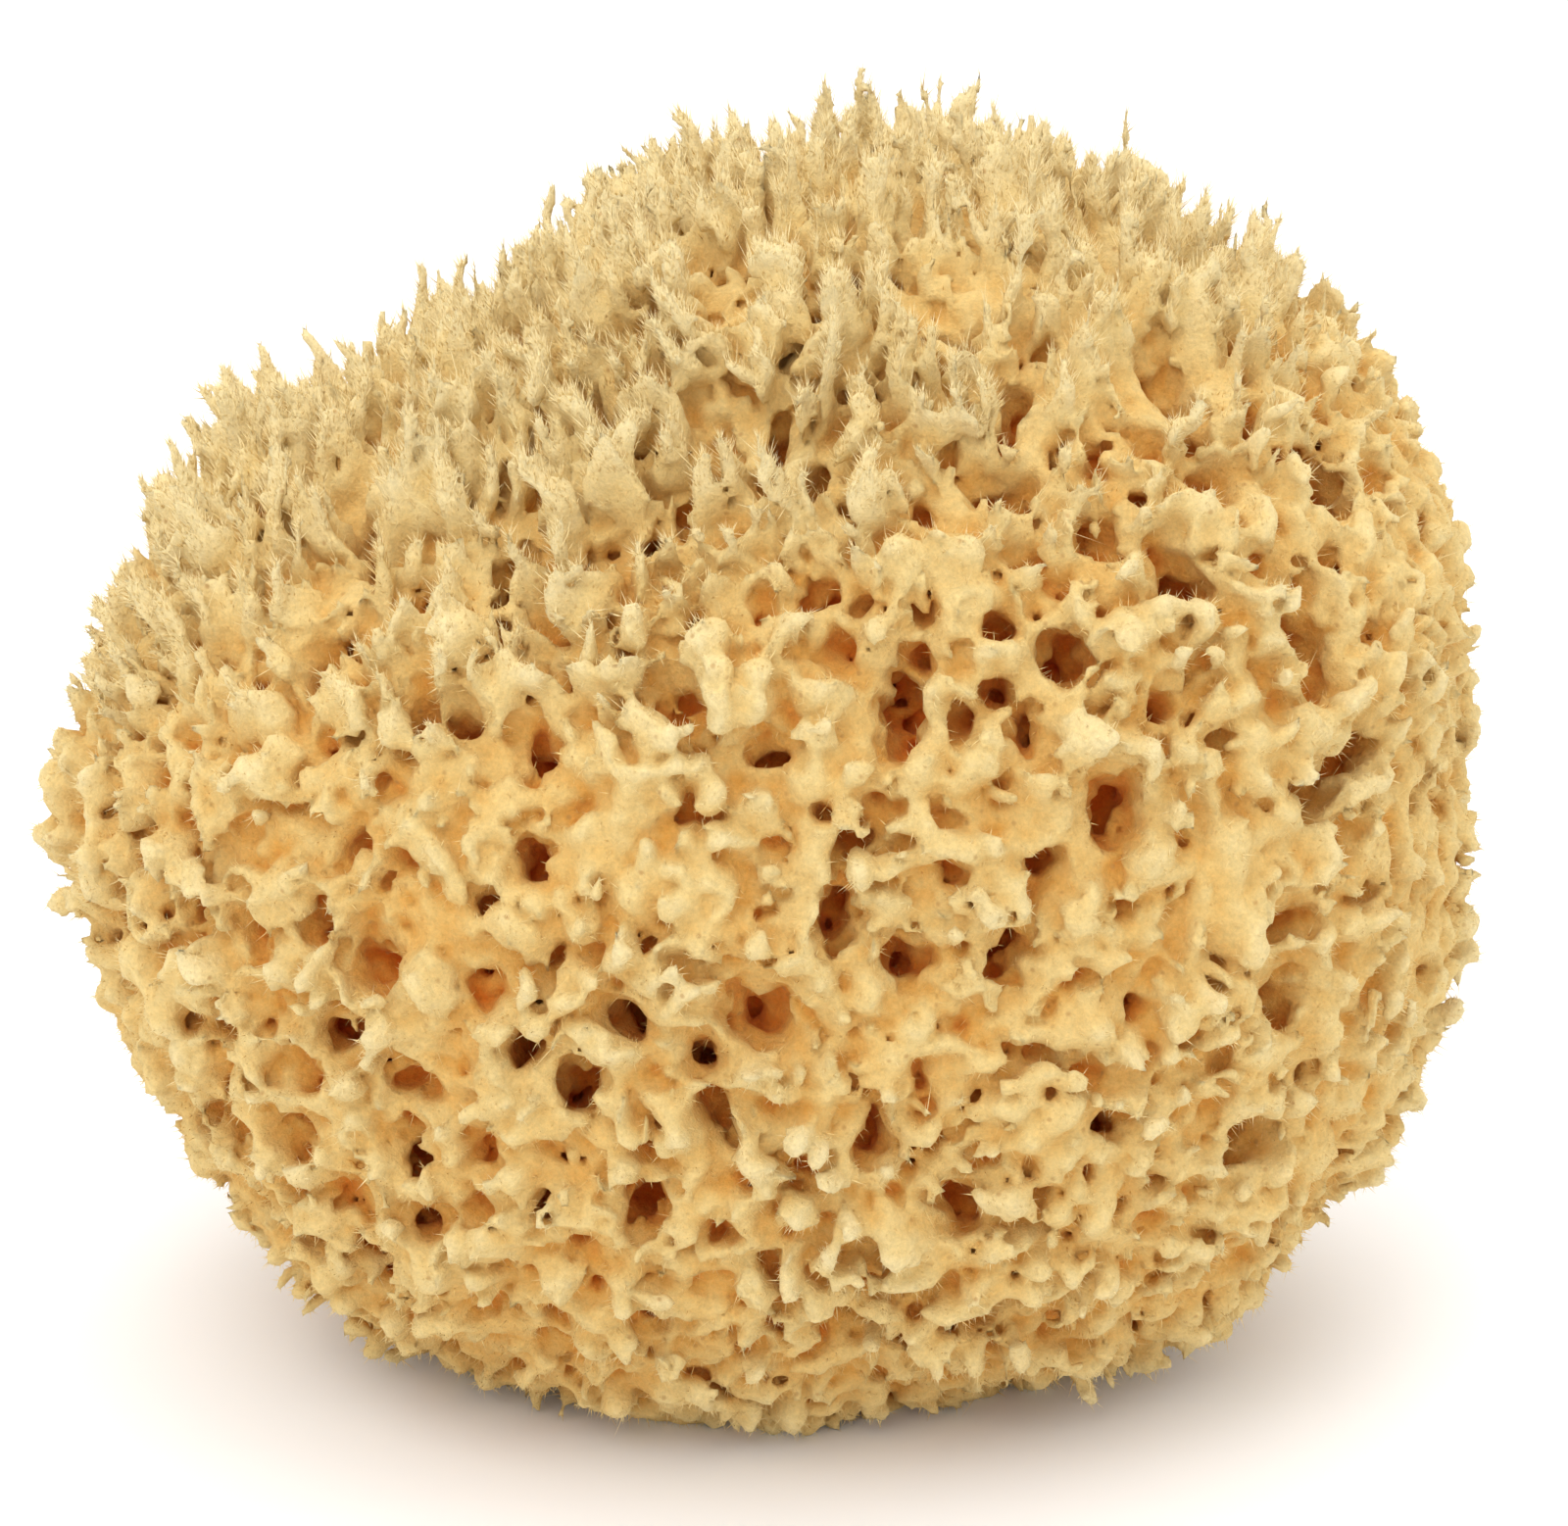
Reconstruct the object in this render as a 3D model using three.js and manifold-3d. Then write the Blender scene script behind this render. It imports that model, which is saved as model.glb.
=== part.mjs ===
// A natural sea sponge of the honeycomb kind, dried for the bath: one grown piece.
// It is a rounded lump whose whole surface is a honeycomb of pits, the lacunae, between walls that
// rise to pointed tips, the conules. The largest lacunae are the dark oscules on its front.
// It was cut off flat where it grew on the rock, and it rests on that cut.
// Units are millimetres, +Z is up, the front faces -Y, and the origin is on the cut, under the middle.
import * as THREE from "three";
import { ConvexHull } from "three/addons/math/ConvexHull.js";
import { mergeVertices } from "three/addons/utils/BufferGeometryUtils.js";
import Module from "manifold-3d";

// The lump. Its front outline is a smooth closed curve round the middle, given by its radius at every
// 30 degrees, anticlockwise from +X. From there it rounds over to its front and back depths.
const CENTRE_HEIGHT = 60;
const OUTLINE_RADII = [72, 76, 74, 68, 60, 70, 73, 73, 72, 67, 71, 74];
const FRONT_DEPTH = 57;
const BACK_DEPTH = 55;
const FULLNESS = 2.3; // 2 gives an ellipsoid, more gives a fuller form

// The honeycomb.
const LACUNA_COUNT = 900;
const LACUNA_DEPTH = 5;
const OSCULE_DEPTH = 9;
const JITTER = 0.3; // of the spacing between neighbours
const TIP_DROP = 1.2; // most that a conule's tip may stay below the lump's outer form
const TALL_TIPS_FROM = 0.35; // the conules are tallest where a direction's Z is above this
const TALL_TIP_EXTRA = 2.5; // how much deeper the lacunae are between those
const SEED = 7;

// The oscules on the front: x and z of each mouth.
const OSCULES = [
  [-2, 111], [-39, 93], [-12, 104], [-26, 100], [-38, 58], [-48, 46], [-57, 60], [25, 81],
  [52, 87], [54, 74], [32, 73], [38, 96], [14, 90], [9, 42], [18, 33], [6, 63], [23, 62],
  [50, 52], [47, 36], [-6, 49], [-15, 55], [23, 16], [40, 113], [-35, 29],
];

// The box that cuts the lump flat.
const CUT_MARGIN = 20;

// Numbers from 0 to 1 in a fixed order.
function randomFrom(seed) {
  let state = seed;
  return () => {
    state = (state * 1664525 + 1013904223) % 4294967296;
    return state / 4294967296;
  };
}

// The front outline's radius at an angle, by a closed Catmull-Rom curve through OUTLINE_RADII.
function outlineRadius(angle) {
  const count = OUTLINE_RADII.length;
  const place = ((angle / (2 * Math.PI)) * count + count) % count;
  const first = Math.floor(place);
  const t = place - first;
  const [a, b, c, d] = [-1, 0, 1, 2].map((k) => OUTLINE_RADII[(first + k + count) % count]);
  const linear = (c - a) * t;
  const square = (2 * a - 5 * b + 4 * c - d) * t ** 2;
  const cube = (3 * b - a - 3 * c + d) * t ** 3;
  return b + (linear + square + cube) / 2;
}

// The lump's radius from its middle, in a unit direction.
function lumpRadius(direction) {
  const inPlane = Math.hypot(direction.x, direction.z);
  const depth = direction.y < 0 ? FRONT_DEPTH : BACK_DEPTH;
  const across = inPlane / outlineRadius(Math.atan2(direction.z, direction.x));
  const through = Math.abs(direction.y) / depth;
  return (across ** FULLNESS + through ** FULLNESS) ** (-1 / FULLNESS);
}

// The direction from the middle to the place on the front with this x and z.
function frontDirection(x, z) {
  const height = z - CENTRE_HEIGHT;
  const across = Math.hypot(x, height) / outlineRadius(Math.atan2(height, x));
  const y = -FRONT_DEPTH * (1 - across ** FULLNESS) ** (1 / FULLNESS);
  return new THREE.Vector3(x, y, height).normalize();
}

// Directions of the lacunae: the oscules, then a jittered spiral that keeps clear of them.
function lacunaDirections(random) {
  const spacing = Math.sqrt((4 * Math.PI) / LACUNA_COUNT);
  const oscules = OSCULES.map(([x, z]) => frontDirection(x, z));
  const golden = Math.PI * (1 + Math.sqrt(5));
  const others = [];
  for (let i = 0; i < LACUNA_COUNT; i++) {
    const polar = Math.acos(1 - (2 * (i + 0.5)) / LACUNA_COUNT);
    const direction = new THREE.Vector3().setFromSphericalCoords(1, polar, golden * i);
    const push = new THREE.Vector3(random() - 0.5, random() - 0.5, random() - 0.5);
    direction.addScaledVector(push, 2 * JITTER * spacing).normalize();
    const clear = oscules.every((oscule) => oscule.distanceTo(direction) > 0.75 * spacing);
    if (clear) others.push(direction);
  }
  return { oscules, others };
}

// Triangles between neighbouring directions, each as three indices, from their convex hull.
function neighbourTriangles(directions) {
  const index = new Map(directions.map((direction, i) => [direction, i]));
  const hull = new ConvexHull().setFromPoints(directions);
  const faceNumber = new Map(hull.faces.map((face, i) => [face, i]));
  return hull.faces.map((face) => {
    const edges = [face.edge, face.edge.next, face.edge.next.next];
    return {
      corners: edges.map((edge) => index.get(edge.head().point)),
      // Each edge runs from the previous corner to its own.
      across: edges.map((edge) => faceNumber.get(edge.twin.face)),
    };
  });
}

// A point on a lacuna's floor, below the lump's outer form.
function lacunaFloor(direction, depth) {
  const tall = THREE.MathUtils.smoothstep(direction.z, 0, TALL_TIPS_FROM);
  return direction.clone().multiplyScalar(lumpRadius(direction) - depth - TALL_TIP_EXTRA * tall);
}

// The honeycomb surface: a floor point at each lacuna, a conule's tip amid each three of them, and
// two triangles across each side, which make the wall between two tips.
function honeycombGeometry() {
  const random = randomFrom(SEED);
  const { oscules, others } = lacunaDirections(random);
  const directions = [...oscules, ...others];
  const faces = neighbourTriangles(directions);
  const floors = directions.map((direction, i) => {
    const depth = i < oscules.length ? OSCULE_DEPTH : LACUNA_DEPTH * (0.7 + 0.6 * random());
    return lacunaFloor(direction, depth);
  });
  const tips = faces.map(({ corners }) => {
    const amid = new THREE.Vector3();
    corners.forEach((corner) => amid.add(directions[corner]));
    amid.normalize();
    return amid.multiplyScalar(lumpRadius(amid) - TIP_DROP * random());
  });
  const points = [...floors, ...tips];
  const triangles = faces.flatMap(({ corners, across }, own) =>
    corners.map((_, side) => {
      const from = corners[(side + 2) % 3];
      return [from, floors.length + across[side], floors.length + own];
    }),
  );
  const geometry = new THREE.BufferGeometry().setFromPoints(points);
  geometry.setIndex(triangles.flat());
  return geometry.translate(0, 0, CENTRE_HEIGHT);
}

// A closed geometry as a solid for cutting and joining.
function solidFrom(wasm, geometry) {
  geometry.deleteAttribute("normal");
  geometry.deleteAttribute("uv");
  const merged = mergeVertices(geometry);
  const mesh = new wasm.Mesh({
    numProp: 3,
    vertProperties: merged.attributes.position.array,
    triVerts: new Uint32Array(merged.index.array),
  });
  return new wasm.Manifold(mesh);
}

// A solid as a geometry again.
function geometryFrom(solid) {
  const { vertProperties, triVerts } = solid.getMesh();
  const geometry = new THREE.BufferGeometry();
  geometry.setAttribute("position", new THREE.BufferAttribute(vertProperties, 3));
  geometry.setIndex(new THREE.BufferAttribute(triVerts, 1));
  geometry.computeVertexNormals();
  return geometry;
}

// Everything below the cut, as a box.
function belowTheCut() {
  const width = 2 * (Math.max(...OUTLINE_RADII) + CUT_MARGIN);
  const depth = FRONT_DEPTH + BACK_DEPTH + 2 * CUT_MARGIN;
  const height = CUT_MARGIN;
  return new THREE.BoxGeometry(width, depth, height).translate(0, 0, -height / 2);
}

async function spongeMesh() {
  const wasm = await Module();
  wasm.setup();
  const lump = solidFrom(wasm, honeycombGeometry());
  const cut = lump.subtract(solidFrom(wasm, belowTheCut()));
  const material = new THREE.MeshStandardMaterial({ color: 0xdfb775, roughness: 0.95, metalness: 0 });
  const mesh = new THREE.Mesh(geometryFrom(cut), material);
  mesh.name = "sponge";
  return mesh;
}

const seaSponge = new THREE.Group();
seaSponge.add(await spongeMesh());

export default seaSponge;
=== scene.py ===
"""A natural sea sponge of the honeycomb kind, standing on its flat cut.

The body is a distance field on a grid of cells: the lump's outer form, with bowls and canals carved
into it along the way the sponge grew, and lumps of felt and pointed conules grown on it. The field's
surface is meshed, given painted shade by how deep and how enclosed each place is, and set with loose fibres.
Lengths are millimetres until a mesh is made.
"""

import math

import bpy
import numpy as np
import openvdb
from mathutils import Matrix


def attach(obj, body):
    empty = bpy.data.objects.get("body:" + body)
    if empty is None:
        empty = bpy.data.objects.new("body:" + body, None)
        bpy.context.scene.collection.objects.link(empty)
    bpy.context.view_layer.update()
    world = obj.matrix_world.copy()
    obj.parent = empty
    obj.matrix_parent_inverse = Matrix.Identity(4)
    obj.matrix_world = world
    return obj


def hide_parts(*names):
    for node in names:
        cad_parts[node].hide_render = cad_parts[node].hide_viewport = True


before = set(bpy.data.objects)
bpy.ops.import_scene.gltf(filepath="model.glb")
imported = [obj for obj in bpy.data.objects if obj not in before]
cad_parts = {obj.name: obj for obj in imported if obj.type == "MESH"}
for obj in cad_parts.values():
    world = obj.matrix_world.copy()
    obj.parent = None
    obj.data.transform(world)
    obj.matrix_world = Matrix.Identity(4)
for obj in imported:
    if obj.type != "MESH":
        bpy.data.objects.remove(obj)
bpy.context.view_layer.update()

MM = 0.001
rng = np.random.default_rng(41)

# The lump, as in the CAD model: where the tips of the conules reach.
CENTRE_HEIGHT = 60.0
OUTLINE_RADII = np.array([72, 76, 74, 68, 60, 70, 73, 73, 72, 67, 71, 74], float)
FRONT_DEPTH = 57.0
BACK_DEPTH = 55.0
FULLNESS = 2.3

# The grid of cells that the field is worked out on. Beyond FAR from a canal the field isn't changed.
CELL = 0.5
LOW = np.array([-78.0, -61.5, -3.0])
HIGH = np.array([77.5, 60.0, 135.0])
FAR = 1.6
COUNTS = np.ceil((HIGH - LOW) / CELL).astype(int)
AXES = [LOW[k] + CELL * np.arange(COUNTS[k], dtype=np.float32) for k in range(3)]

# The meshes: the body in three pieces and its loose fibres in two, by the triangles in each.
BODY_PIECES = 3
PIECE_TRIANGLES = 197_000
FIBRE_PIECES = ("fibres_left", "fibres_right")
FIBRES_EACH = PIECE_TRIANGLES // 4

# How many random places are tried when conules, canals or lumps are scattered over the lump.
TRIES = 90_000
CANAL_TRIES = 50_000
LOW_TIP_TRIES = 40_000

# The large canals of the front: x and z of the mouth, half its width and half its height.
FRONT_CANALS = (
    # upper left and the top
    (-2, 111, 1.4, 4.6), (-39, 93, 2.5, 2.3), (-12, 104, 1.2, 3.6), (-34, 96, 1.2, 2.0),
    (-26, 100, 1.4, 3.0), (40, 113, 2.0, 4.6), (3, 122, 1.4, 3.0), (23, 116, 2.3, 3.0),
    (22, 107, 3.0, 2.0), (43, 104, 2.5, 2.5), (56, 100, 2.0, 3.0), (5, 109, 1.5, 2.0),
    (-13, 118, 2.5, 3.0), (-23, 113, 2.0, 1.8), (-35, 107, 1.8, 4.1), (-40, 102, 2.3, 2.5),
    (-8, 111, 2.3, 2.5), (-61, 89, 1.8, 2.0), (-44, 90, 1.4, 3.0),
    # the left side, from the middle down
    (-33, 84, 1.8, 3.0), (-28, 83, 2.3, 1.8), (-38, 58, 3.1, 3.1), (-43, 50, 2.7, 2.2),
    (-57, 60, 2.6, 1.8), (-24, 50, 1.8, 2.0), (-18, 46, 2.0, 2.5), (-13, 33, 2.3, 2.3),
    (-48, 38, 2.4, 2.3), (-37, 38, 1.8, 3.6), (-35, 29, 2.6, 2.5), (-11, 18, 2.3, 1.6),
    (-22, 81, 1.8, 2.0), (-9, 86, 2.5, 2.0),
    # the middle
    (1, 80, 2.5, 2.0), (4, 97, 1.8, 1.5), (14, 90, 1.7, 1.7), (12, 84, 2.0, 3.6),
    (18, 84, 1.5, 2.0), (22, 86, 1.8, 2.0), (28, 89, 2.3, 3.6), (22, 94, 1.7, 1.4),
    (25, 81, 1.8, 2.5), (32, 73, 2.5, 3.0), (25, 69, 1.8, 2.0), (23, 62, 1.7, 2.3),
    (6, 63, 1.9, 3.0), (14, 60, 2.5, 1.5), (-1, 55, 3.0, 2.5), (-13, 54, 2.5, 3.0),
    (-6, 49, 1.9, 1.9), (9, 42, 1.8, 2.5), (18, 33, 1.9, 2.5), (34, 55, 1.9, 1.9),
    (32, 40, 2.0, 1.9), (8, 16, 3.0, 2.0), (23, 16, 3.6, 2.5),
    # the right side
    (52, 87, 2.3, 3.8), (57, 77, 1.9, 2.5), (54, 73, 2.3, 2.5), (38, 96, 2.3, 3.0),
    (37, 83, 1.6, 1.6), (50, 60, 2.0, 1.5), (50, 52, 2.0, 3.0), (47, 36, 2.3, 2.3),
)


def smoothstep(low, high, value):
    """0 at low, 1 at high, and smooth between; low may be the greater of the two."""
    share = np.clip((value - low) / (high - low), 0, 1)
    return share * share * (3 - 2 * share)


def unit(vectors):
    return vectors / np.linalg.norm(vectors, axis=1, keepdims=True)


# ---------------------------------------------------------------- the lump's form

def outline_radius(angle):
    """The front outline's radius, by a closed Catmull-Rom curve through OUTLINE_RADII."""
    count = len(OUTLINE_RADII)
    place = (angle / (2 * math.pi) * count) % count
    first = np.floor(place).astype(int) % count
    t = place - np.floor(place)
    a, b, c, d = (OUTLINE_RADII[(first + k) % count] for k in (-1, 0, 1, 2))
    return b + ((c - a) * t + (2 * a - 5 * b + 4 * c - d) * t**2 + (3 * b - a - 3 * c + d) * t**3) / 2


def fraction_out(x, y, z):
    """How far out a place is: 0 at the lump's middle, 1 on its outer form."""
    height = z - CENTRE_HEIGHT
    across = np.hypot(x, height) / outline_radius(np.arctan2(height, x))
    depth = np.where(y < 0, FRONT_DEPTH, BACK_DEPTH)
    return (across**FULLNESS + (np.abs(y) / depth) ** FULLNESS) ** (1 / FULLNESS)


def outward(points):
    """Unit normals of the lump's outer form at points on it."""
    half_step = 0.5
    slope = np.empty_like(points)
    for axis in range(3):
        ahead = points.copy()
        behind = points.copy()
        ahead[:, axis] += half_step
        behind[:, axis] -= half_step
        slope[:, axis] = fraction_out(*ahead.T) - fraction_out(*behind.T)
    return unit(slope)


def on_lump(directions):
    """The places on the lump's outer form in these directions from its middle."""
    middle = np.array([0, 0, CENTRE_HEIGHT])
    reach = 1 / fraction_out(*(directions + middle).T)
    return middle + directions * reach[:, None]


def on_front(x, z):
    """The place on the lump's front with this x and z."""
    height = z - CENTRE_HEIGHT
    across = np.hypot(x, height) / outline_radius(np.arctan2(height, x))
    y = -FRONT_DEPTH * (1 - np.minimum(across, 0.999) ** FULLNESS) ** (1 / FULLNESS)
    return np.stack([x, y, z], axis=1)


# ---------------------------------------------------------------- how it grew, by region

def crown_at(x, z):
    """1 over the top and the upper left, where the conules are tall flames, and 0 on the rest."""
    return smoothstep(82, 108, z - 0.28 * x)


def right_at(x):
    """1 on the right side, which is smoother, and 0 on the rest."""
    return smoothstep(34, 50, x)


def crown(points):
    return crown_at(points[:, 0], points[:, 2])


def region_values(points):
    """How much each place belongs to the crown, the left side, the right side and the foot."""
    x, z = points[:, 0], points[:, 2]
    top = crown(points)
    left = smoothstep(-8, -30, x) * smoothstep(92, 72, z) * (1 - top)
    right = right_at(x) * (1 - top)
    foot = smoothstep(34, 16, z) * (1 - top)
    return top, left, right, foot


def growth(points):
    """Unit directions that the conules and canals grew in: outward, and upward over the top."""
    top = crown(points)
    low = smoothstep(34, 8, points[:, 2])
    direction = outward(points)
    direction[:, 2] += 0.35 + 0.85 * top - 0.6 * low
    direction[:, 0] -= 0.12 * top
    return unit(direction)


# ---------------------------------------------------------------- noise and cells on the grid

def splined(values, count, spacing, start):
    """Values that lie spacing apart along the first axis, as a cubic B-spline at each of count cells."""
    place = (start + CELL * np.arange(count)) / spacing
    first = np.floor(place).astype(int)
    t = (place - first).astype(np.float32)[:, None]
    parts = [(1 - t) ** 3, 3 * t**3 - 6 * t**2 + 4, -3 * t**3 + 3 * t**2 + 3 * t + 1, t**3]
    flat = values.reshape(len(values), -1)
    total = sum(flat[first + k] * (part / 6) for k, part in enumerate(parts))
    return total.reshape(count, *values.shape[1:])


def noise(spacing, stretch=(1, 1, 1)):
    """Smooth noise over the whole grid, of mean 0 and spread 1, with bumps about this far apart."""
    gaps = [spacing * k for k in stretch]
    starts = [rng.random() * gap for gap in gaps]
    spans = [start + CELL * (count - 1) for start, count in zip(starts, COUNTS)]
    sizes = [int(span / gap) + 4 for span, gap in zip(spans, gaps)]
    values = rng.standard_normal(sizes, dtype=np.float32)
    for count, gap, start in zip(COUNTS, gaps, starts):
        values = np.moveaxis(splined(np.ascontiguousarray(values), count, gap, start), 0, -1)
    return np.ascontiguousarray(values / values.std())


def smooth_min(a, b, softness):
    """The lesser of two fields, rounded where they're nearly equal."""
    near = np.maximum(softness - np.abs(a - b), 0) / softness
    return np.minimum(a, b) - near * near * softness / 4


class Grid:
    """The cells' own places, bent a little by noise so that nothing drawn on them is straight."""

    def __init__(self):
        bend = [0.9 * noise(7) + 0.35 * noise(2.2) for _ in range(3)]
        x, y, z = AXES
        self.x = x[:, None, None] + bend[0]
        self.y = y[None, :, None] + bend[1]
        self.z = z[None, None, :] + bend[2]

    def local(self, origin, axes, low, high, reach):
        """The cells near a segment, and their coordinates along three axes at its origin.

        The segment runs along the last axis, from low to high, and reach is how far round it counts.
        """
        ends = np.stack([origin + low * axes[2], origin + high * axes[2]])
        first = np.floor((ends.min(0) - reach - LOW) / CELL).astype(int).clip(0, COUNTS)
        last = np.ceil((ends.max(0) + reach - LOW) / CELL).astype(int).clip(0, COUNTS)
        box = tuple(slice(a, b) for a, b in zip(first, last))
        dx = self.x[box] - np.float32(origin[0])
        dy = self.y[box] - np.float32(origin[1])
        dz = self.z[box] - np.float32(origin[2])
        ways = axes.astype(np.float32)
        return box, [dx * way[0] + dy * way[1] + dz * way[2] for way in ways]


def axes_along(direction, turn=0.0):
    """Three unit axes, the last along the direction, the first level unless turned."""
    side = np.cross(direction, [0, 0, 1.0])
    if side @ side < 0.05:
        side = np.cross(direction, [0, 1.0, 0])
    side /= math.sqrt(side @ side)
    rise = np.cross(side, direction)
    turned = math.cos(turn) * side + math.sin(turn) * rise
    return np.stack([turned, np.cross(turned, direction), direction])


def carve(hollows, grid, mouth, axes, width, height, depth, flare=0.0, softness=0.8):
    """Cuts a bowl-ended canal in at its mouth, against the direction that the sponge grew in."""
    reach = max(width, height) * (1 + flare) + FAR
    box, (across, along, out) = grid.local(mouth, axes, -depth, 5.0, reach)
    inward = np.maximum(-out, 0) / depth
    widening = 1 + flare * np.clip(1 - inward * 2, 0, 1.5)
    around = ((across / width) ** 2 + (along / height) ** 2) / (widening * widening)
    distance = (np.sqrt(around + inward * inward) - 1) * min(width, height)
    hollows[box] = smooth_min(hollows[box], distance, softness)


def grow(solid, grid, tip, axes, length, width, thickness, point, softness, power=1.0):
    """Adds a spike as long as this below its tip, width by thickness at its foot and point at its tip.

    A power under 1 gives it a full, rounded form.
    """
    box, (across, along, out) = grid.local(tip, axes, -length, 0.0, max(width, thickness) + FAR)
    up = np.clip(1 + out / length, 0, 1)
    taper = (1 - up) ** power + point / width
    around = np.sqrt((across / width) ** 2 + (along / thickness) ** 2 + 1e-6)
    beyond = np.maximum(out, 0) + np.maximum(-length - out, 0)
    distance = (around - taper) * min(width, thickness) + beyond
    solid[box] = smooth_min(solid[box], distance, softness)


def scattered(count, spacing, kept=()):
    """Places on the lump, each at least its own spacing from the others and from those kept.

    Of count random places, each is taken if it is clear of all those taken before it.
    """
    places = on_lump(unit(rng.standard_normal((count, 3))))
    places = places[places[:, 2] > -4]
    gaps = spacing(places)
    cell = gaps.max()
    shelves = {}
    chosen = []

    def take(place, gap):
        key = tuple(np.floor(place / cell).astype(int))
        shelves.setdefault(key, []).append((*place, gap))

    for place, gap in kept:
        take(place, gap)
    around = [(i, j, k) for i in (-1, 0, 1) for j in (-1, 0, 1) for k in (-1, 0, 1)]
    keys = np.floor(places / cell).astype(int)
    for (x, y, z), gap, (kx, ky, kz) in zip(places.tolist(), gaps.tolist(), keys.tolist()):
        clear = True
        for i, j, k in around:
            for ox, oy, oz, other in shelves.get((kx + i, ky + j, kz + k), ()):
                limit = (gap + other) / 2
                if (x - ox) ** 2 + (y - oy) ** 2 + (z - oz) ** 2 < limit * limit:
                    clear = False
                    break
            if not clear:
                break
        if clear:
            shelves.setdefault((kx, ky, kz), []).append((x, y, z, gap))
            chosen.append((x, y, z))
    return np.array(chosen)


def canal_spacing(points):
    top, left, right, foot = region_values(points)
    return 5.0 - 0.5 * top + 1.6 * left + 0.5 * right - 0.3 * foot


def jittered(directions, amount):
    return unit(directions + amount * rng.standard_normal(directions.shape))


def canals():
    """Every canal as a row: its mouth, its direction, half its width, half its height and its depth.

    Most of the scattered ones are too slim to be carved, and only their bowls are.
    """
    fronts = np.array(FRONT_CANALS, float)
    mouths = on_front(fronts[:, 0], fronts[:, 1])
    top, left, _, _ = region_values(mouths)
    deep = 7.5 + 6 * top - 1.5 * left + 1.3 * fronts[:, 2:].max(1)
    wider = (1.12 + 0.22 * top)[:, None]
    named = np.column_stack([mouths, growth(mouths), wider * fronts[:, 2:], deep])
    kept = [(mouth, 4.4 + max(row[2], row[3])) for mouth, row in zip(mouths, fronts)]
    places = scattered(CANAL_TRIES, canal_spacing, kept)
    top, left, right, _ = region_values(places)
    radii = (1.15 + 0.35 * top + 1.45 * left + 0.2 * right) * rng.lognormal(0, 0.28, len(places))
    oval = rng.lognormal(0, 0.18, len(places))
    deep = (3.8 + 6.5 * top + 2.0 * left) * rng.lognormal(0, 0.3, len(places))
    radii *= np.where(rng.random(len(places)) < 0.30 + 0.4 * top + 0.4 * left, 1, 0.3)
    ways = jittered(growth(places), 0.10)
    others = np.column_stack([places, ways, radii * oval, radii / oval, deep])
    return np.concatenate([named, others])


def mouths_of(rows, rim, less):
    """The mouths of these canals, each with the gap that keeps what is scattered clear of its rim."""
    return [(row[:3], 2.0 * (max(row[6], row[7]) + rim) - less) for row in rows]


def carve_bowls(hollows, grid, rows):
    """The wide bowl round every canal's mouth, which leaves walls and pointed conules between them."""
    top, left, right, _ = region_values(rows[:, :3])
    spaces = canal_spacing(rows[:, :3])
    share = (0.50 + 0.02 * top - 0.03 * left - 0.05 * right) * rng.lognormal(0, 0.15, len(rows))
    deep = (3.6 + 5.4 * top + 1.2 * left - 0.6 * right) * rng.lognormal(0, 0.3, len(rows))
    for row, radius, depth in zip(rows, spaces * share, deep):
        axes = axes_along(row[3:6], rng.uniform(0, math.pi))
        oval = rng.lognormal(0, 0.15)
        carve(hollows, grid, row[:3], axes, radius * oval, radius / oval, depth, softness=0.5)


def carve_canals(hollows, grid, rows):
    """The canals themselves, but for those too slim to be seen."""
    for row in rows:
        if row[6] * row[7] < 0.4:
            continue
        axes = axes_along(row[3:6])
        carve(hollows, grid, row[:3], axes, row[6], row[7], row[8], flare=0.45, softness=0.5)


def carve_pores(hollows, grid):
    """Small bowls and pores between the large ones."""
    small = scattered(TRIES, lambda points: np.full(len(points), 3.0))
    top, _, right, _ = region_values(small)
    ways = jittered(growth(small), 0.25)
    radii = (0.8 - 0.05 * top) * rng.lognormal(0, 0.32, len(small))
    depths = (2.2 + 2.5 * top - 0.4 * right) * rng.lognormal(0, 0.4, len(small))
    for place, way, radius, depth in zip(small, ways, radii, depths):
        carve(hollows, grid, place, axes_along(way), radius, radius, depth, softness=0.3)


def grow_lumps(solid, grid, rows):
    """The rounded lumps of felt between the canals, everywhere but over the crown."""
    kept = mouths_of(rows, 0.9, 1.6)
    places = scattered(TRIES, lambda points: 3.3 + 3 * crown(points), kept)
    ways = jittered(growth(places), 0.2)
    for place, way, (top, left, right, _) in zip(places, ways, zip(*region_values(places))):
        if top > 0.6:
            continue
        width = (2.3 + 0.3 * left + 0.2 * right) * rng.lognormal(0, 0.25)
        thickness = width * rng.uniform(0.5, 0.95)
        tip = place - rng.uniform(-0.1, 1.3) * way
        axes = axes_along(way, rng.uniform(0, math.pi))
        grow(solid, grid, tip, axes, 4.2, width, thickness, point=0.1, softness=1.1, power=0.5)


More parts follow.
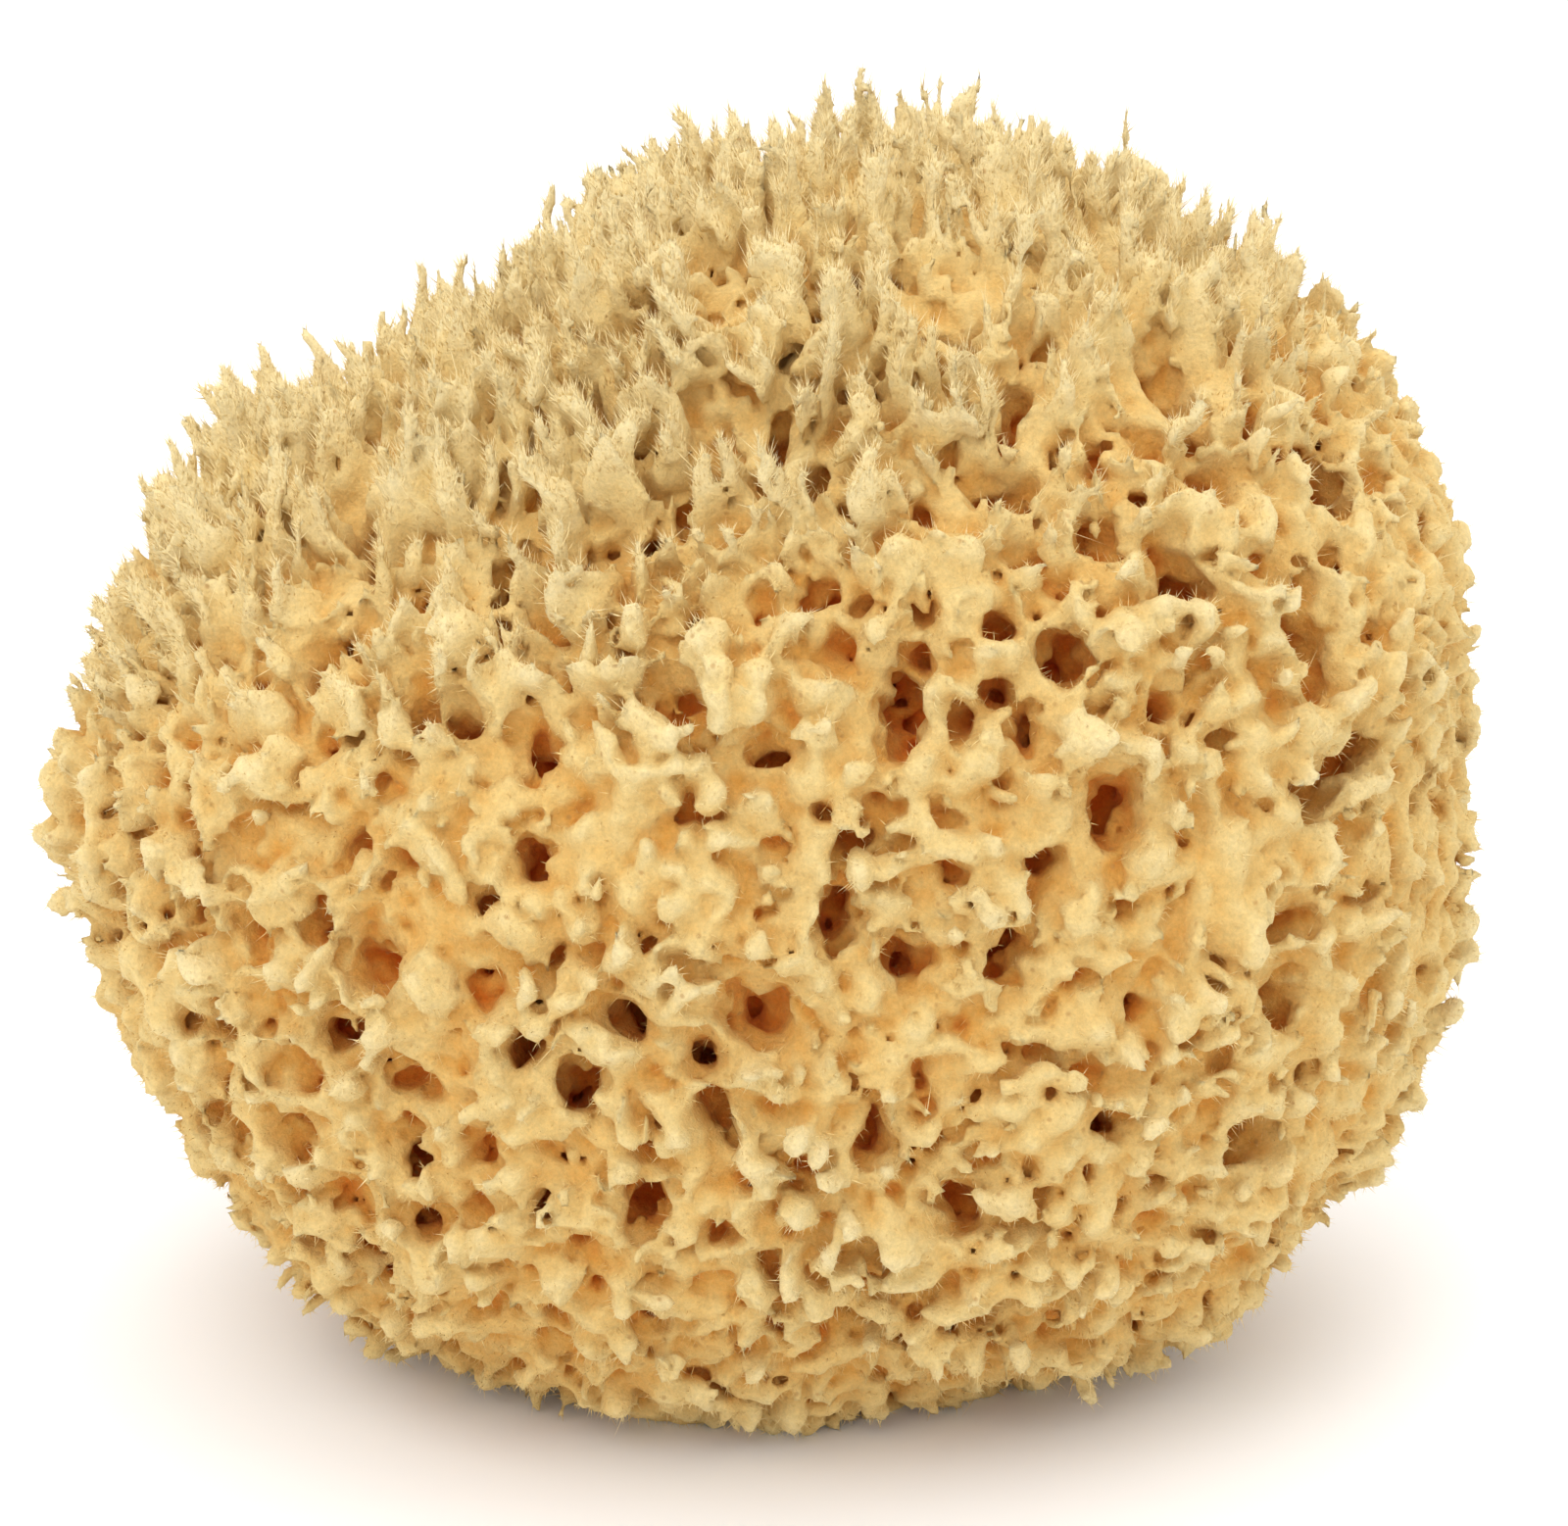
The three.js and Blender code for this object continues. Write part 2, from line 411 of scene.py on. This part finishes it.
def grow_conules(solid, grid, rows):
    """The conules: forked flames over the crown, small torn points elsewhere."""
    kept = mouths_of(rows, 0.3, 1.6)
    tips = scattered(TRIES, lambda points: 2.5 + 0.4 * crown(points), kept)
    ways = jittered(growth(tips), 0.12)
    for place, way, (top, left, right, _) in zip(tips, ways, zip(*region_values(tips))):
        if top < 0.1 and rng.random() < 0.45:
            continue
        unevenness = 0.12 + 0.1 * (1 - top)
        length = (2.8 + 13.5 * top + 0.8 * left - 0.6 * right) * rng.lognormal(0, unevenness)
        width = (1.0 + 1.9 * top + 0.25 * left) * rng.lognormal(0, 0.2)
        sunk = (1.0 + 4.4 * top - 0.3 * right) * rng.random() ** 1.3 - 2.6 * top
        thickness = width * rng.uniform(0.4, 0.75)
        turn = rng.uniform(0, math.pi)
        axes = axes_along(way, turn)
        tip = place - sunk * way
        grow(solid, grid, tip, axes, length, width, thickness, point=0.15, softness=0.4)
        for _ in range(rng.integers(0, 2) if top < 0.3 else rng.integers(1, 3)):
            lean = way + (0.25 - 0.12 * top) * rng.standard_normal(3)
            lean /= math.sqrt(lean @ lean)
            shift = axes[0] * rng.normal(0, 0.65 * width)
            fork = tip + shift - way * length * rng.uniform(0.0, 0.3)
            slim = width * rng.uniform(0.35, 0.6)
            fork_axes = axes_along(lean, turn)
            grow(solid, grid, fork, fork_axes, 0.6 * length, slim, 0.7 * slim, point=0.2, softness=0.3)


def grow_low_tips(solid, grid, rows):
    """The slim tips low down between the crown's flames."""
    kept = mouths_of(rows, 0.3, 1.6)
    tips = scattered(LOW_TIP_TRIES, lambda points: 2.2 + 4 * (1 - crown(points)), kept)
    tips = tips[crown(tips) > 0.25]
    for place, way in zip(tips, jittered(growth(tips), 0.15)):
        width = rng.uniform(0.9, 1.6)
        tip = place - rng.uniform(1.5, 5.5) * way
        axes = axes_along(way, rng.uniform(0, math.pi))
        grow(solid, grid, tip, axes, 7.5, width, width * rng.uniform(0.5, 0.9), point=0.2, softness=0.4)


def lump_field():
    """How far each cell is outside the lump's outer form, negative inside it."""
    x, y, z = AXES
    height = z - CENTRE_HEIGHT
    flat = np.hypot(x[:, None], height[None, :])
    across = flat / outline_radius(np.arctan2(height[None, :], x[:, None]))
    depth = np.where(y < 0, FRONT_DEPTH, BACK_DEPTH)
    through = (np.abs(y) / depth) ** FULLNESS
    fraction = (across[:, None, :] ** FULLNESS + through[None, :, None]) ** (1 / FULLNESS)
    radius = np.sqrt(flat[:, None, :] ** 2 + (y * y)[None, :, None])
    return (radius * (1 - 1 / np.maximum(fraction, 0.05))).astype(np.float32)


def sponge_field():
    """The whole sponge as a distance field, negative inside it, and the depth below the outer form."""
    grid = Grid()
    rows = canals()
    bowls = np.full(COUNTS, FAR, np.float32)
    carve_bowls(bowls, grid, rows)
    carve_pores(bowls, grid)
    lump = lump_field()
    x, _, z = AXES
    top = crown_at(x[:, None], z[None, :])[:, None, :].astype(np.float32)
    right = right_at(x)[:, None, None].astype(np.float32)
    # The felt's own skin lies below the outer form, which only the conules' tips reach, in raised
    # and sunken patches with torn edges.
    jag = 0.30 * noise(1.3) + 0.28 * noise(0.75)
    patches = smoothstep(-0.22, 0.22, noise(3.2) + 0.35 * noise(1.9) + jag)
    skin = lump + patches * (1.5 - 0.5 * right)
    uneven = np.maximum(noise(5.0), -1.6) + 1.6
    skin = skin + uneven * (0.25 + 0.35 * top) + 1.9 - 0.5 * right + 5.4 * top
    bowls += 0.5 * jag
    solid = -smooth_min(-skin, bowls, 0.6)
    grow_lumps(solid, grid, rows)
    solid += (0.36 - 0.16 * top) * noise(1.6) + (0.20 - 0.06 * top) * noise(0.8)
    grow_conules(solid, grid, rows)
    grow_low_tips(solid, grid, rows)
    throats = np.full(COUNTS, FAR, np.float32)
    carve_canals(throats, grid, rows)
    throats += 0.75 * jag
    solid = -smooth_min(-solid, throats, 0.5)
    solid += 0.09 * noise(0.8) + 0.11 * top * noise(0.8, (1, 1, 4))
    solid = np.maximum(solid, -z[None, None, :])
    return solid.astype(np.float32), -lump


# ---------------------------------------------------------------- meshing

def component_labels(count, a, b):
    """For each of count things, the lowest number among all that the links a-b join it to."""
    label = np.arange(count)
    while True:
        low = np.minimum(label[a], label[b])
        new = label.copy()
        np.minimum.at(new, a, low)
        np.minimum.at(new, b, low)
        for _ in range(4):
            new = new[new]
        if (new == label).all():
            return label
        label = new


def surface_of(field):
    """Points and four-sided faces of the largest closed surface where the field is 0."""
    grid = openvdb.FloatGrid(3 * CELL)
    grid.copyFromArray(np.clip(field, -3 * CELL, 3 * CELL))
    points, _, quads = grid.convertToPolygons(isovalue=0.0, adaptivity=0.0)
    sides = [(quads[:, 0], quads[:, 1]), (quads[:, 1], quads[:, 2]), (quads[:, 2], quads[:, 3])]
    a = np.concatenate([side[0] for side in sides])
    b = np.concatenate([side[1] for side in sides])
    label = component_labels(len(points), a, b)
    largest = np.bincount(label[quads[:, 0]]).argmax()
    quads = quads[label[quads[:, 0]] == largest]
    used, quads = np.unique(quads, return_inverse=True)
    return LOW + points[used] * CELL, quads.reshape(-1, 4)


def sample(field, points):
    """The field's value at points, between cells."""
    place = (points - LOW) / CELL
    first = np.floor(place).astype(int).clip(0, COUNTS - 2)
    t = (place - first).astype(np.float32)
    total = 0
    for i in (0, 1):
        for j in (0, 1):
            for k in (0, 1):
                weight = 1.0
                for axis, step in enumerate((i, j, k)):
                    weight = weight * (t[:, axis] if step else 1 - t[:, axis])
                total = total + weight * field[first[:, 0] + i, first[:, 1] + j, first[:, 2] + k]
    return total


def blurred(field, width):
    """The field averaged over about this width, by three box averages along each axis."""
    half = max(1, round(width / CELL / 2))
    out = field
    for _ in range(3):
        for axis in range(3):
            pad = [(0, 0)] * 3
            pad[axis] = (half + 1, half)
            total = np.cumsum(np.pad(out, pad, mode="edge"), axis=axis, dtype=np.float64)
            upper = np.take(total, np.arange(2 * half + 1, total.shape[axis]), axis=axis)
            lower = np.take(total, np.arange(0, total.shape[axis] - 2 * half - 1), axis=axis)
            out = ((upper - lower) / (2 * half + 1)).astype(np.float32)
    return out


def new_mesh(name, points, faces):
    """A smooth mesh of these points and faces, which all have as many sides as each other."""
    mesh = bpy.data.meshes.new(name)
    faces = np.asarray(faces, np.int32)
    sides = faces.shape[1]
    mesh.vertices.add(len(points))
    mesh.vertices.foreach_set("co", np.asarray(points, np.float32).ravel())
    mesh.loops.add(faces.size)
    mesh.loops.foreach_set("vertex_index", faces.ravel())
    mesh.polygons.add(len(faces))
    mesh.polygons.foreach_set("loop_start", np.arange(0, faces.size, sides, dtype=np.int32))
    mesh.update(calc_edges=True)
    mesh.polygons.foreach_set("use_smooth", np.ones(len(faces), bool))
    return mesh


def reduced(points, quads, triangles, ease):
    """The same surface with about this many triangles, fewest where ease is near 1."""
    mesh = new_mesh("whole", points, quads)
    whole = bpy.data.objects.new("whole", mesh)
    bpy.context.scene.collection.objects.link(whole)
    group = whole.vertex_groups.new(name="ease")
    steps = 8
    levels = np.round(ease * steps).astype(int)
    for level in range(steps + 1):
        weight = 0.05 + 0.95 * level / steps
        group.add(np.nonzero(levels == level)[0].tolist(), weight, "REPLACE")
    cut = whole.modifiers.new("reduce", "DECIMATE")
    cut.ratio = min(1.0, triangles / (2 * len(quads)))
    cut.vertex_group = "ease"
    cut.vertex_group_factor = 0.03
    cut.use_collapse_triangulate = True
    done = whole.evaluated_get(bpy.context.evaluated_depsgraph_get()).to_mesh()
    result = np.empty(len(done.vertices) * 3, np.float32)
    done.vertices.foreach_get("co", result)
    normals = np.empty(len(done.vertices) * 3, np.float32)
    done.vertices.foreach_get("normal", normals)
    corners = np.empty(len(done.loops), np.int32)
    done.loops.foreach_get("vertex_index", corners)
    whole.to_mesh_clear()
    bpy.data.objects.remove(whole)
    bpy.data.meshes.remove(mesh)
    return result.reshape(-1, 3), corners.reshape(-1, 3), normals.reshape(-1, 3)


field, depth_below = sponge_field()
points, quads = surface_of(field)
ease = smoothstep(4, 9, sample(depth_below, points))
points, triangles, normals = reduced(points, quads, BODY_PIECES * PIECE_TRIANGLES, ease)

# How enclosed each point is by the felt round it, how deep it lies, and its painted shading from both: 0 is
# the paleness of the tips and 1 the brown of painted shade down in the canals, darker the more enclosed and
# deep a place is.
filled = (field < 0).astype(np.float32)
crowding = 0.5 * blurred(filled, 5.0) + 0.5 * blurred(filled, 2.4)
enclosed = sample(crowding, points + 0.5 * normals)
depth = sample(depth_below, points)
over = crown(points)
# Painted shade: weaker over the crown, whose tips are made paler as painted light for the glow through the
# thin flames, and darker towards the bottom, as painted shade from light falling from above.
painted_shading = (0.82 - 0.30 * over) * enclosed + (0.024 - 0.004 * over) * depth.clip(-2, 14)
painted_shading += 0.08 * smoothstep(38, 0, points[:, 2]) + 0.03 - 0.05 * over


# ---------------------------------------------------------------- materials

def socket(nodes, kind, **settings):
    """A new node with these input values, by socket name with _ for a space."""
    node = nodes.new(kind)
    for name, value in settings.items():
        node.inputs[name.replace("_", " ")].default_value = value
    return node


def ramp_of(nodes, stops):
    """A colour ramp through (position, (red, green, blue)) stops."""
    node = nodes.new("ShaderNodeValToRGB")
    elements = node.color_ramp.elements
    while len(elements) < len(stops):
        elements.new(0.5)
    for element, (position, colour) in zip(elements, stops):
        element.position = position
        element.color = (*colour, 1)
    return node


def material_fibre(name, matted):
    """Dry spongin: cream at the tips, amber to brown in the canals as painted shade, mottled.

    The matted surface also has pinholes, dark dots painted as the shade of tiny pores, and a felt's fine
    relief, with painted shade where that relief is low; the loose fibres have neither.
    """
    material = bpy.data.materials.new(name)
    material.use_nodes = True
    nodes = material.node_tree.nodes
    links = material.node_tree.links
    shader = nodes["Principled BSDF"]
    shader.inputs["Roughness"].default_value = 0.92
    shader.inputs["Specular IOR Level"].default_value = 0.12
    shader.inputs["Sheen Weight"].default_value = 0.07
    shader.inputs["Sheen Roughness"].default_value = 0.45
    shader.inputs["Sheen Tint"].default_value = (1.0, 0.88, 0.64, 1)
    place = nodes.new("ShaderNodeTexCoord")

    def noise_of(scale, detail, roughness):
        node = socket(nodes, "ShaderNodeTexNoise", Scale=scale, Detail=detail, Roughness=roughness)
        links.new(place.outputs["Object"], node.inputs["Vector"])
        return node.outputs["Fac"]

    def range_of(value, low, high, to_low, to_high):
        node = socket(nodes, "ShaderNodeMapRange", From_Min=low, From_Max=high, To_Min=to_low, To_Max=to_high)
        links.new(value, node.inputs["Value"])
        return node.outputs["Result"]

    def math_of(operation, a, b):
        node = nodes.new("ShaderNodeMath")
        node.operation = operation
        for value, slot in ((a, node.inputs[0]), (b, node.inputs[1])):
            if isinstance(value, float):
                slot.default_value = value
            else:
                links.new(value, slot)
        return node.outputs[0]

    shading_there = nodes.new("ShaderNodeAttribute")
    shading_there.attribute_name = "painted_shading"
    mottle = range_of(noise_of(230.0, 5.0, 0.6), 0.3, 0.7, -0.10, 0.10)
    level = math_of("ADD", shading_there.outputs["Fac"], mottle)
    # The ramp runs from the tips' cream to the amber and brown that are painted shade in enclosed and deep
    # places.
    ramp = ramp_of(nodes, [
        (0.04, (0.93, 0.765, 0.415)),
        (0.25, (0.87, 0.648, 0.277)),
        (0.42, (0.83, 0.545, 0.187)),
        (0.60, (0.795, 0.41, 0.09)),
        (0.80, (0.77, 0.25, 0.03)),
        (1.00, (0.76, 0.14, 0.009)),
    ])
    links.new(level, ramp.inputs["Fac"])
    if not matted:
        links.new(ramp.outputs["Color"], shader.inputs["Base Color"])
        return material
    felt = noise_of(1900.0, 6.0, 0.8)
    cloud = noise_of(600.0, 3.0, 0.6)
    # Painted shade between the fibres: the colour is multiplied by the same noises that raise the bump, so it
    # is darker where the felt's fine relief is low.
    felt_shade = range_of(felt, 0.3, 0.7, 0.80, 1.10)
    light = math_of("MULTIPLY", felt_shade, range_of(cloud, 0.3, 0.7, 0.95, 1.04))
    shaded = nodes.new("ShaderNodeVectorMath")
    shaded.operation = "SCALE"
    links.new(ramp.outputs["Color"], shaded.inputs[0])
    links.new(light, shaded.inputs["Scale"])
    # Pinholes: dark brown dots painted on, painted shade standing in for tiny pores that the mesh doesn't
    # have.
    cells = socket(nodes, "ShaderNodeTexVoronoi", Scale=380.0)
    links.new(place.outputs["Object"], cells.inputs["Vector"])
    pore_shade = range_of(cells.outputs["Distance"], 0.05, 0.13, 0.6, 0.0)
    pore_shaded = nodes.new("ShaderNodeMix")
    pore_shaded.data_type = "RGBA"
    links.new(pore_shade, pore_shaded.inputs["Factor"])
    links.new(shaded.outputs[0], pore_shaded.inputs["A"])
    pore_shaded.inputs["B"].default_value = (0.50, 0.26, 0.08, 1)
    links.new(pore_shaded.outputs["Result"], shader.inputs["Base Color"])
    height = math_of("ADD", math_of("MULTIPLY", felt, 0.5), cloud)
    bump = socket(nodes, "ShaderNodeBump", Strength=1.0, Distance=0.55 * MM)
    links.new(height, bump.inputs["Height"])
    links.new(bump.outputs["Normal"], shader.inputs["Normal"])
    return material


felt = material_fibre("sponge_fibre", matted=True)
fuzz = material_fibre("sponge_fuzz", matted=False)


# ---------------------------------------------------------------- the body's pieces

def parts_round(points, triangles):
    """The triangles in three sets of one size: the left of the front, the right of it, and the back."""
    centres = points[triangles].mean(1)
    level = np.quantile(centres[:, 1], 2 / 3)
    front = centres[:, 1] < level
    divide = np.median(centres[front, 0])
    left = front & (centres[:, 0] < divide)
    return {"left": triangles[left], "right": triangles[front & ~left], "back": triangles[~front]}


def add_piece(name, mesh, shadings, material):
    """Shows a mesh as a part of the sponge, with this painted shading at each of its points."""
    layer = mesh.attributes.new("painted_shading", "FLOAT", "POINT")
    layer.data.foreach_set("value", shadings.astype(np.float32))
    piece = bpy.data.objects.new(name, mesh)
    bpy.context.scene.collection.objects.link(piece)
    mesh.materials.append(material)
    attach(piece, "root")
    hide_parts("sponge")


for name, part in parts_round(points, triangles).items():
    used, local = np.unique(part, return_inverse=True)
    mesh = new_mesh("sponge_" + name, points[used] * MM, local.reshape(-1, 3))
    mesh.normals_split_custom_set_from_vertices(normals[used])
    add_piece("sponge_" + name, mesh, painted_shading[used], felt)


# ---------------------------------------------------------------- the loose fibres

# The faces of a fibre: its foot, corners 0 to 2, and three sides up to its point, corner 3.
FIBRE_FACES = np.array([(0, 2, 1), (3, 0, 1), (3, 1, 2), (3, 2, 0)])


def fibres(count):
    """Fine hairs that stand out of the surface, most of them on its tips and edges, and the painted shading
    that each takes from the surface at its foot.

    Each is closed and three-sided, from a foot sunk in the surface to a point.
    """
    corners = points[triangles]
    centres = corners.mean(1)
    sides = np.cross(corners[:, 1] - corners[:, 0], corners[:, 2] - corners[:, 0])
    area = np.linalg.norm(sides, axis=1)
    around = enclosed[triangles].mean(1)
    deep = depth[triangles].mean(1)
    front = smoothstep(25, -15, centres[:, 1])
    weight = area * (0.10 + np.clip(1.0 - around / 0.5, 0, 1) ** 1.2)
    weight *= smoothstep(9, 3, deep) * (0.35 + 0.65 * front) * (centres[:, 2] > 0.3)
    weight *= 1 + 1.5 * crown(centres) * (around < 0.25)
    chosen = rng.choice(len(triangles), count, p=weight / weight.sum())
    share = rng.dirichlet((1, 1, 1), count)
    foot = (corners[chosen] * share[:, :, None]).sum(1)
    normal = unit((normals[triangles[chosen]] * share[:, :, None]).sum(1))
    top = crown(foot)[:, None]
    way = (0.5 - 0.2 * top) * normal + (0.5 + 0.6 * top) * growth(foot)
    way = unit(way + (0.6 - 0.3 * top) * rng.standard_normal((count, 3)))
    length = (0.85 + 0.45 * top[:, 0]) * rng.lognormal(0, 0.35, count)
    thick = 0.05 * rng.lognormal(0, 0.3, count)
    side = unit(np.cross(way, rng.standard_normal((count, 3))))
    rise = np.cross(side, way)
    sunk_foot = foot - normal * 0.12
    shape = np.empty((count, 4, 3))
    for k in range(3):
        turn = 2 * math.pi * k / 3
        shape[:, k] = sunk_foot + thick[:, None] * (math.cos(turn) * side + math.sin(turn) * rise)
    shape[:, 3] = foot + way * length[:, None]
    shape[:, :, 2] = np.maximum(shape[:, :, 2], 0.02)
    return shape, 0.7 * painted_shading[triangles[chosen]].mean(1)


hairs, hair_shadings = fibres(len(FIBRE_PIECES) * FIBRES_EACH)
leftmost_first = np.argsort(hairs[:, 0, 0])
for k, name in enumerate(FIBRE_PIECES):
    chosen = leftmost_first[k * FIBRES_EACH:(k + 1) * FIBRES_EACH]
    faces = (4 * np.arange(FIBRES_EACH)[:, None, None] + FIBRE_FACES).reshape(-1, 3)
    mesh = new_mesh(name, hairs[chosen].reshape(-1, 3) * MM, faces)
    add_piece(name, mesh, np.repeat(hair_shadings[chosen], 4), fuzz)


# ---------------------------------------------------------------- floor, light and camera

LENS = 100.0
SENSOR = 36.0
ELEVATION = math.radians(18)
DISTANCE = 451.2 * MM
TARGET = (0.0, 0.0, CENTRE_HEIGHT * MM)
SHIFT = (15 / 1600, 11.5 / 1600)
# Each lamp's name, place, power and size.
LAMPS = (
    ("key", (-0.25, -0.55, 0.75), 2.5, 0.6),
    ("top", (0.1, 0.1, 0.8), 1.6, 0.7),
)


def add_floor():
    bpy.ops.mesh.primitive_plane_add(size=6, location=(0, 0, 0))
    floor = bpy.context.object
    floor.name = "floor"
    paint = bpy.data.materials.new("floor_white")
    paint.use_nodes = True
    shader = paint.node_tree.nodes["Principled BSDF"]
    shader.inputs["Base Color"].default_value = (0.9, 0.9, 0.9, 1)
    shader.inputs["Roughness"].default_value = 0.9
    floor.data.materials.append(paint)


def add_studio():
    """White light from all round, stronger from above, so that the shadows are soft."""
    world = bpy.data.worlds.new("studio")
    world.use_nodes = True
    nodes = world.node_tree.nodes
    links = world.node_tree.links
    nodes["Background"].inputs["Color"].default_value = (1, 1, 1, 1)
    place = nodes.new("ShaderNodeTexCoord")
    split = nodes.new("ShaderNodeSeparateXYZ")
    sky = nodes.new("ShaderNodeMapRange")
    sky.inputs["From Min"].default_value = 0.0
    sky.inputs["From Max"].default_value = 1.0
    sky.inputs["To Min"].default_value = 0.95
    sky.inputs["To Max"].default_value = 1.42
    links.new(place.outputs["Generated"], split.inputs[0])
    links.new(split.outputs["Z"], sky.inputs["Value"])
    links.new(sky.outputs["Result"], nodes["Background"].inputs["Strength"])
    bpy.context.scene.world = world


def add_lamps():
    """Wide lamps that face the middle of the sponge."""
    for name, place, power, size in LAMPS:
        lamp = bpy.data.lights.new(name, "AREA")
        lamp.energy = power
        lamp.size = size
        holder = bpy.data.objects.new(name, lamp)
        holder.location = place
        bpy.context.scene.collection.objects.link(holder)
        aim = holder.constraints.new("TRACK_TO")
        empty = bpy.data.objects.new(name + "_aim", None)
        empty.location = TARGET
        bpy.context.scene.collection.objects.link(empty)
        aim.target = empty
        aim.track_axis = "TRACK_NEGATIVE_Z"
        aim.up_axis = "UP_Y"


def add_camera():
    """The camera, turned down to look at the middle of the sponge from the front."""
    lens = bpy.data.cameras.new("camera")
    lens.lens = LENS
    lens.sensor_width = SENSOR
    lens.shift_x, lens.shift_y = SHIFT
    lens.clip_start = 0.01
    holder = bpy.data.objects.new("camera", lens)
    back = DISTANCE * math.cos(ELEVATION)
    holder.location = (0, -back, TARGET[2] + DISTANCE * math.sin(ELEVATION))
    holder.rotation_euler = (math.pi / 2 - ELEVATION, 0, 0)
    bpy.context.scene.collection.objects.link(holder)
    bpy.context.scene.camera = holder


add_floor()
add_studio()
add_lamps()
add_camera()
bpy.context.scene.view_settings.view_transform = "Standard"

bpy.context.view_layer.update()
